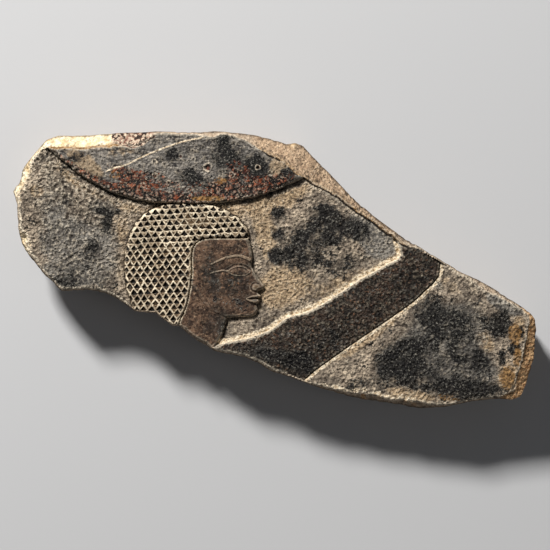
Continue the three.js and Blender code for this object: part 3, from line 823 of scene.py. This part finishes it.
def paint(x, y, cut):
    """The masks of the stone's colours at the given points, each from 0 to 1."""
    on = cut["on"]
    basket = ease(on["basket"], -0.2, 0.6)
    arm = ease(on["arm"], -0.2, 0.6)
    flesh = ease(np.maximum(on["face"], on["neck"]), 0.2, 1.0)
    wig = ease(on["wig"], -0.9, 0.1)
    off_wig = 1 - wig
    whole = 1 - cut["broken"]
    dark = many(x, y, DARK) * (1 - many(x, y, DARK_GAPS))
    grey = many(x, y, GREY)
    red = cut["crust"] * 0.8 + many(x, y, RED)
    basket_shade = hump(on["basket"] + 0.9, 1.2) * ease(x, -150, -135) * ease(x, 20, 0)
    under_basket = hump(on["basket"] + 6, 3.5) * ease(x, -160, -140) * ease(x, 40, 20)
    ring_stain, _ = ring_marks(x, y)
    calm = [0.9 * wig, 0.8 * flesh, 0.35 * arm, 0.3 * grey, 0.6 * basket, 0.35 * cut["broken"]]
    masks = {
        "basket": basket * whole,
        "bare": basket * whole * many(x, y, BARE),
        # Dark patina, and painted shade along the inside of the basket's lower edge and under the jaw.
        "dark": (dark * off_wig + 0.4 * basket_shade) * whole,
        "seam": cut["seam"] * whole,
        "grey": grey * whole * off_wig,
        "tan": (many(x, y, TAN) + 0.6 * under_basket) * whole,
        "ochre": many(x, y, OCHRE) * whole,
        "red": red * off_wig * whole,
        "ring": (1.2 * ring_stain - 0.25) * basket * whole,
        "skin": flesh * off_wig * (0.9 - many(x, y, DARK_SKIN)),
        "smooth": np.maximum.reduce([*calm, 0.4 * ease(x, -75, -55)]),
        "grain": cut["grain"],
        "flesh": (arm + flesh * off_wig) * whole,
        "wig": wig * whole,
        "pit": cut["pits"],
        # Pale wear and painted highlights on the face's raised features.
        "rubbed_and_highlit": ease(cut["feature"], 0.35, 0.8) * ease(on["face"], -0.2, 0.4) * whole,
        # Painted highlights along the arm's edges and the arc, and the pale chipped edge.
        "pale": pale_marks_and_highlights(x, y, cut),
        **break_masks(x, y, cut),
    }
    return {name: np.clip(mask, 0, 1) for name, mask in masks.items()}


# How calm the grain is on the back, and the angle in degrees from which an edge is sharp.
BACK_CALM = 0.85
SHARP_EDGE = 62


def build_stone():
    """The stone as a mesh object in the frame's metres, with its masks on its points."""
    points, triangles, masks = stone_mesh()
    placed = points.copy()
    placed[:, :2] -= DRAWN_CENTRE
    placed *= SCALE * MM
    mesh = bpy.data.meshes.new("limestone_fragment")
    mesh.vertices.add(len(placed))
    mesh.vertices.foreach_set("co", placed.ravel())
    mesh.loops.add(triangles.size)
    mesh.loops.foreach_set("vertex_index", triangles.ravel().astype(np.int32))
    mesh.polygons.add(len(triangles))
    mesh.polygons.foreach_set("loop_start", np.arange(0, triangles.size, 3, dtype=np.int32))
    mesh.update(calc_edges=True)
    mesh.validate()
    for name, values in masks.items():
        all_values = np.zeros(len(points), np.float32)
        all_values[:len(values)] = values
        if name == "broken":
            all_values[len(values):] = 1
        if name == "smooth":
            all_values[points[:, 2] < 0.5] = BACK_CALM
        mesh.attributes.new(name, "FLOAT", "POINT").data.foreach_set("value", all_values)
    mesh.polygons.foreach_set("use_smooth", np.ones(len(triangles), bool))
    mesh.set_sharp_from_angle(angle=np.radians(SHARP_EDGE))
    stone = bpy.data.objects.new("limestone_fragment", mesh)
    bpy.context.scene.collection.objects.link(stone)
    return stone


# The stone's look: patches of patina, crust and fresh break, each broken up by fine grain. The spacing of
# the pocks is in millimetres, and the depth of the bumps in metres.
POCK_SPACING = 2.6
BUMP_DEPTH = 0.0025
SHINE = 0.18


class Nodes:
    """A short way to write a material's nodes. A text given for a value is the name of a mask.

    The base is the colour of all coats laid so far.
    """

    def __init__(self, name):
        self.material = bpy.data.materials.new(name)
        self.material.use_nodes = True
        self.tree = self.material.node_tree
        self.shader = self.tree.nodes["Principled BSDF"]
        self.place = self.tree.nodes.new("ShaderNodeTexCoord").outputs["Object"]
        self.base = None

    def add(self, kind, values, **settings):
        node = self.tree.nodes.new(kind)
        for key, value in settings.items():
            setattr(node, key, value)
        for key, value in values.items():
            if isinstance(value, str):
                value = self.mask(value)
            if isinstance(value, bpy.types.NodeSocket):
                self.tree.links.new(value, node.inputs[key])
            else:
                node.inputs[key].default_value = value
        return node

    def mask(self, name):
        return self.add("ShaderNodeAttribute", {}, attribute_name=name).outputs["Fac"]

    def noise(self, size_mm, detail=3.0, roughness=0.6):
        """Noise from about 0 to 1, half of it between 0.35 and 0.65."""
        values = {"Vector": self.place, "Scale": 1000 / size_mm, "Detail": detail, "Roughness": roughness}
        raw = self.add("ShaderNodeTexNoise", values).outputs["Fac"]
        return self.math("MULTIPLY_ADD", raw, 2.0, -0.5)

    def math(self, operation, a, b=0.0, c=0.0):
        return self.add("ShaderNodeMath", {0: a, 1: b, 2: c}, operation=operation).outputs[0]

    def times(self, a, b):
        return self.math("MULTIPLY", a, b)

    def ramp(self, value, low, high, to_low=0.0, to_high=1.0):
        values = {"Value": value, "From Min": low, "From Max": high, "To Min": to_low, "To Max": to_high}
        return self.add("ShaderNodeMapRange", values, interpolation_type="SMOOTHSTEP").outputs["Result"]

    def blend(self, factor, a, b):
        a, b = (colour(c) if isinstance(c, str) else c for c in (a, b))
        values = {0: factor, 6: a, 7: b}
        return self.add("ShaderNodeMix", values, data_type="RGBA").outputs[2]

    def shades(self, noise, low, high, dark, pale):
        """A colour that turns from dark to pale while the noise goes from low to high."""
        return self.blend(self.ramp(noise, low, high), dark, pale)

    def dust(self, coat, noise, low, high, dusted, most=1.0):
        """The coat with another colour over it where the noise is past low, fullest at high."""
        return self.blend(self.ramp(noise, low, high, 0.0, most), coat, dusted)

    def lay(self, factor, coat):
        """Lays a coat over the coats before it."""
        self.base = self.blend(factor, self.base, coat)

    def torn(self, mask, noise, strength, low, high, most):
        """A mask whose edge and thickness follow the noise."""
        together = self.math("MULTIPLY_ADD", noise, strength, mask)
        return self.ramp(together, low + strength * 0.5, high + strength * 0.5, 0.0, most)


def colour(code):
    """A colour from its six hexadecimal digits, as the light-linear values that a shader takes."""
    parts = [int(code[k:k + 2], 16) / 255 for k in (0, 2, 4)]
    return (*[p / 12.92 if p <= 0.04045 else ((p + 0.055) / 1.055) ** 2.4 for p in parts], 1.0)


def add_grain(n):
    """The noise that breaks up every coat, from broad clouds to single specks."""
    n.broad = n.noise(18, 4)
    n.middle = n.noise(5, 6, 0.72)
    n.small = n.noise(2.2, 4, 0.75)
    n.grit = n.noise(1.3, 2, 0.75)
    n.pebble = n.noise(2.1, 1, 0.4)
    mottle = n.math("MULTIPLY_ADD", n.noise(9, 8, 0.72), 0.95, n.times(n.small, 0.35))
    n.mottle = n.math("MULTIPLY_ADD", n.math("SUBTRACT", n.grit, 1.1), 0.25, mottle)
    stretch = {"Vector": n.place, "Rotation": (0, 0, -0.35), "Scale": (0.18, 1, 1)}
    stretched = n.add("ShaderNodeMapping", stretch).outputs[0]
    streaks = {"Vector": stretched, "Scale": 900, "Detail": 3}
    n.streaks = n.add("ShaderNodeTexNoise", streaks).outputs["Fac"]
    cells = {"Vector": n.place, "Scale": 1000 / POCK_SPACING, "Randomness": 1}
    cell = n.add("ShaderNodeTexVoronoi", cells).outputs["Distance"]
    n.pocks = n.times(n.ramp(cell, 0.36, 0.16), n.ramp(n.middle, 0.45, 0.8))
    n.calm = n.ramp("smooth", 0, 1, 1, 0.2)


def ground_coats(n):
    """The limestone with its tan and grey patina."""
    n.base = n.shades(n.broad, 0.2, 0.8, "6a5f53", "a2917d")
    n.lay(n.ramp(n.middle, 0.52, 0.8), "cab69c")
    n.lay(n.ramp(n.middle, 0.44, 0.16), "40362c")
    tan = n.shades(n.small, 0.2, 0.8, "876c4f", "d3b68e")
    n.lay(n.torn("tan", n.middle, 0.8, 0.3, 0.8, 0.75), tan)
    grey = n.shades(n.mottle, 0.15, 0.85, "3d3b39", "908b82")
    n.lay(n.torn("grey", n.middle, 0.8, 0.3, 0.7, 0.85), grey)


def basket_coats(n):
    """The basket's streaky grey, and the places where it has gone."""
    basket = n.shades(n.mottle, 0.2, 0.8, "1c1d20", "857f77")
    basket = n.dust(basket, n.streaks, 0.54, 0.68, "aea598", 0.7)
    basket = n.dust(basket, n.streaks, 0.44, 0.32, "101012", 0.7)
    basket = n.dust(basket, n.grit, 0.66, 0.9, "c0b5a4", 0.5)
    n.lay(n.times("basket", 0.9), basket)
    bare = n.shades(n.small, 0.2, 0.8, "75624c", "b59b7a")
    n.lay(n.torn("bare", n.middle, 0.8, 0.35, 0.75, 0.8), bare)


def flesh_coats(n):
    """The arm's dark brown, the paler face and neck, and pale specks and painted highlights, fewer on the
    flesh.
    """
    flesh = n.shades(n.mottle, 0.35, 0.8, "090808", "403128")
    flesh = n.dust(flesh, n.small, 0.6, 0.9, "875a3a")
    flesh = n.dust(flesh, n.noise(3.1, 4, 0.7), 0.62, 0.9, "716d66")
    flesh = n.dust(flesh, n.broad, 0.55, 0.2, "141110", 0.5)
    n.lay(n.torn("flesh", n.small, 0.3, 0.3, 0.6, 0.95), flesh)
    skin = n.shades(n.mottle, 0.3, 0.8, "33241b", "7f624c")
    skin = n.dust(skin, n.small, 0.6, 0.95, "a98d71")
    n.lay(n.times("skin", 0.85), skin)
    # Pale wear and painted highlights on the face's raised features.
    n.lay(n.times("rubbed_and_highlit", 0.2), "b39470")
    # Pale specks of grain, and painted highlights on the tops of the fine bumps.
    specks_and_highlights = n.math("MAXIMUM", n.ramp(n.grit, 0.56, 0.8), n.ramp(n.pebble, 0.6, 0.85))
    specks_and_highlights = n.times(specks_and_highlights, n.times(n.calm, n.ramp(n.middle, 0.3, 0.65)))
    n.lay(n.times(specks_and_highlights, n.ramp("flesh", 0, 1, 0.6, 0.25)), "d4c3a8")


def wig_coats(n):
    """The wig, with wear and painted highlights on its ridges, and dirt and painted shade in its notches."""
    n.lay(n.ramp("wig", 0.1, 0.8), n.shades(n.small, 0.25, 0.75, "4b3b2b", "937c5f"))
    # Wear and painted highlights on the ridges that stand proud.
    ridge = n.times(n.ramp("proud", 0.3, 0.9), "wig")
    ridge = n.times(ridge, n.ramp(n.middle, 0.25, 0.75, 0.1, 1))
    n.lay(n.times(ridge, n.ramp(n.broad, 0.25, 0.6, 0.6, 1)), "f0dfc0")
    # Dirt and painted shade in the notches, darkest where they are deepest.
    n.lay(n.ramp("pit", 0.08, 0.35), "5d4830")
    n.lay(n.ramp("pit", 0.3, 0.6), n.shades(n.middle, 0.5, 0.85, "0b0a08", "4e381f"))


def stain_coats(n):
    """Soot and painted shade, the red crust, ochre, the rings, pale lines and painted highlights, and the
    dark seam.
    """
    soot = n.shades(n.middle, 0.45, 0.9, "09090a", "353431")
    soot = n.dust(soot, n.grit, 0.6, 0.85, "7d786e")
    # Soot over the dark mask, with painted shade along the basket's lower edge and under the jaw.
    n.lay(n.torn("dark", n.mottle, 0.9, 0.1, 0.65, 0.6), "33302b")
    n.sooty = n.torn("dark", n.mottle, 2, 0.46, 0.56, 0.95)
    n.lay(n.sooty, soot)
    crust = n.shades(n.middle, 0.3, 0.7, "3f1a12", "8a4526")
    crust = n.dust(crust, n.small, 0.52, 0.35, "38322d")
    # Painted shade between the crust's raised grains.
    crust = n.dust(crust, "grain", 0.5, 0.15, "120e0e")
    # Pale specks on the crust, partly painted highlights.
    crust = n.dust(crust, n.grit, 0.62, 0.9, "b09a82")
    n.lay(n.torn("red", n.small, 0.9, 0.35, 0.6, 0.95), crust)
    n.ochre = n.shades(n.small, 0.2, 0.8, "5e4226", "a07845")
    n.lay(n.torn("ochre", n.small, 0.8, 0.3, 0.6, 0.85), n.ochre)
    n.lay(n.torn("ring", n.small, 0.9, 0.25, 0.75, 0.85), "b9a993")
    # Painted highlights along the arm's edges and the basket's arc, and the pale chipped edge of the front.
    pale_and_highlight = n.shades(n.small, 0.2, 0.8, "b3966f", "f5e5c9")
    n.lay(n.torn("pale", n.small, 0.7, 0.3, 0.6, 0.95), pale_and_highlight)
    n.lay(n.torn("seam", n.small, 0.8, 0.3, 0.5, 0.95), "120e0a")


def break_coats(n):
    """The broken stone, its cream and its rusty ends, the burst pocket, and the ochre lip beside it."""
    fresh = n.shades(n.middle, 0.2, 0.8, "8f7b67", "c0a98f")
    fresh = n.dust(fresh, n.small, 0.55, 0.95, "d0bda1")
    n.lay(n.ramp("broken", 0.3, 0.7), fresh)
    n.lay(n.ramp("cream", 0.1, 0.9), n.shades(n.middle, 0.2, 0.8, "cdae80", "f5e4c3"))
    n.lay(n.ramp("rust", 0.1, 0.9), n.shades(n.small, 0.2, 0.8, "8f6540", "dcb485"))
    burst = n.shades(n.small, 0.3, 0.7, "74493a", "c9b59c")
    burst = n.dust(burst, "grain", 0.25, 0.05, "382b24")
    n.lay(n.ramp("pocket", 0.2, 0.7), burst)
    n.lay(n.ramp("lip", 0.2, 0.8), n.ochre)


def wear_coats(n):
    """Dirt and painted shade in hollows and pores, wear and painted highlights on what stands proud."""
    # Dirt and painted shade in the hollows of the mesh.
    n.lay(n.times(n.ramp("hollow", 0.2, 1), 0.6), "1b1612")
    # Pale wear and painted highlights on what stands proud, less on the soot.
    raised = n.times(n.ramp("proud", 0.15, 1), n.calm)
    n.lay(n.times(raised, n.ramp(n.sooty, 0, 1, 0.6, 0.1)), "e3d4bb")
    # Dark pores in the grain, and painted shade in the hollows of the fine bumps.
    low = n.math("MAXIMUM", n.ramp(n.grit, 0.42, 0.22), n.ramp(n.pebble, 0.4, 0.15))
    low = n.times(low, n.times(n.calm, n.ramp(n.broad, 0.8, 0.3, 0.3, 1)))
    n.lay(n.times(low, 0.7), "1b1714")
    # Dark pores in the pits of the fine bumps, partly painted shade.
    n.lay(n.times(n.pocks, n.ramp("broken", 0, 1, 0.75, 0.4)), "1a1613")


def fine_bumps(n):
    """The grain as bumps that are too small for the mesh."""
    relief = n.math("MULTIPLY_ADD", n.small, 0.3, n.times(n.grit, 0.15))
    relief = n.math("ADD", n.times(n.pebble, n.ramp(n.broad, 0.2, 0.8, 0.4, 0.8)), relief)
    relief = n.times(n.math("MULTIPLY_ADD", n.pocks, -0.7, relief), n.calm)
    return n.add("ShaderNodeBump", {"Strength": 1, "Distance": BUMP_DEPTH, "Height": relief}).outputs[0]


def limestone():
    """The stone's material."""
    n = Nodes("weathered_limestone")
    add_grain(n)
    ground_coats(n)
    basket_coats(n)
    flesh_coats(n)
    wig_coats(n)
    stain_coats(n)
    break_coats(n)
    wear_coats(n)
    n.tree.links.new(n.base, n.shader.inputs["Base Color"])
    n.tree.links.new(n.ramp(n.middle, 0.2, 0.8, 0.75, 0.95), n.shader.inputs["Roughness"])
    n.tree.links.new(fine_bumps(n), n.shader.inputs["Normal"])
    n.shader.inputs["Specular IOR Level"].default_value = SHINE
    return n.material


stone = build_stone()
stone.data.materials.append(limestone())

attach(stone, "root")
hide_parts("relief_fragment")


# The floor, the light and the camera, which looks straight down at the middle of the photograph. Lengths
# are in metres, but the middle of the view and the width of the sensor are in millimetres.
FLOOR_SIZE = 8
LIGHT_DISTANCE = 3.0
SKY_STRENGTH = 0.065
CAMERA_HEIGHT = 3.0
VIEW_WIDTH = 0.385
VIEW_MIDDLE = (0.0, -3.85)
SENSOR_WIDTH = 36
FARTHEST_SEEN = 20


def plain_floor():
    bpy.ops.mesh.primitive_plane_add(size=FLOOR_SIZE, location=(0, 0, 0))
    floor = bpy.context.object
    floor.name = "floor"
    pale = bpy.data.materials.new("pale_floor")
    pale.use_nodes = True
    shader = pale.node_tree.nodes["Principled BSDF"]
    shader.inputs["Base Color"].default_value = (0.5, 0.495, 0.49, 1)
    shader.inputs["Roughness"].default_value = 0.9
    floor.data.materials.append(pale)


def soft_light(name, azimuth, elevation, size, power):
    """A square light that faces the stone from that direction, in degrees."""
    lamp = bpy.data.lights.new(name, "AREA")
    lamp.size = size
    lamp.energy = power
    holder = bpy.data.objects.new(name, lamp)
    turn, rise = np.radians(azimuth), np.radians(elevation)
    place = Vector((np.cos(turn) * np.cos(rise), np.sin(turn) * np.cos(rise), np.sin(rise)))
    holder.location = place * LIGHT_DISTANCE
    holder.rotation_euler = place.to_track_quat("Z", "Y").to_euler()
    bpy.context.scene.collection.objects.link(holder)


def dim_sky():
    world = bpy.data.worlds.new("studio")
    world.use_nodes = True
    sky = world.node_tree.nodes["Background"]
    sky.inputs["Color"].default_value = (0.8, 0.85, 0.95, 1)
    sky.inputs["Strength"].default_value = SKY_STRENGTH
    bpy.context.scene.world = world


def set_camera():
    lens = bpy.data.cameras.new("camera")
    lens.sensor_width = SENSOR_WIDTH
    lens.lens = SENSOR_WIDTH * (CAMERA_HEIGHT - GROUND * MM) / VIEW_WIDTH
    lens.clip_end = FARTHEST_SEEN
    camera = bpy.data.objects.new("camera", lens)
    middle = (np.array(VIEW_MIDDLE) - DRAWN_CENTRE) * SCALE * MM
    camera.location = (*middle, CAMERA_HEIGHT)
    bpy.context.scene.collection.objects.link(camera)
    bpy.context.scene.camera = camera


plain_floor()
soft_light("key", azimuth=122, elevation=36, size=0.5, power=165)
soft_light("fill", azimuth=-30, elevation=50, size=2.0, power=6)
dim_sky()
bpy.context.scene.view_settings.view_transform = "Standard"
set_camera()
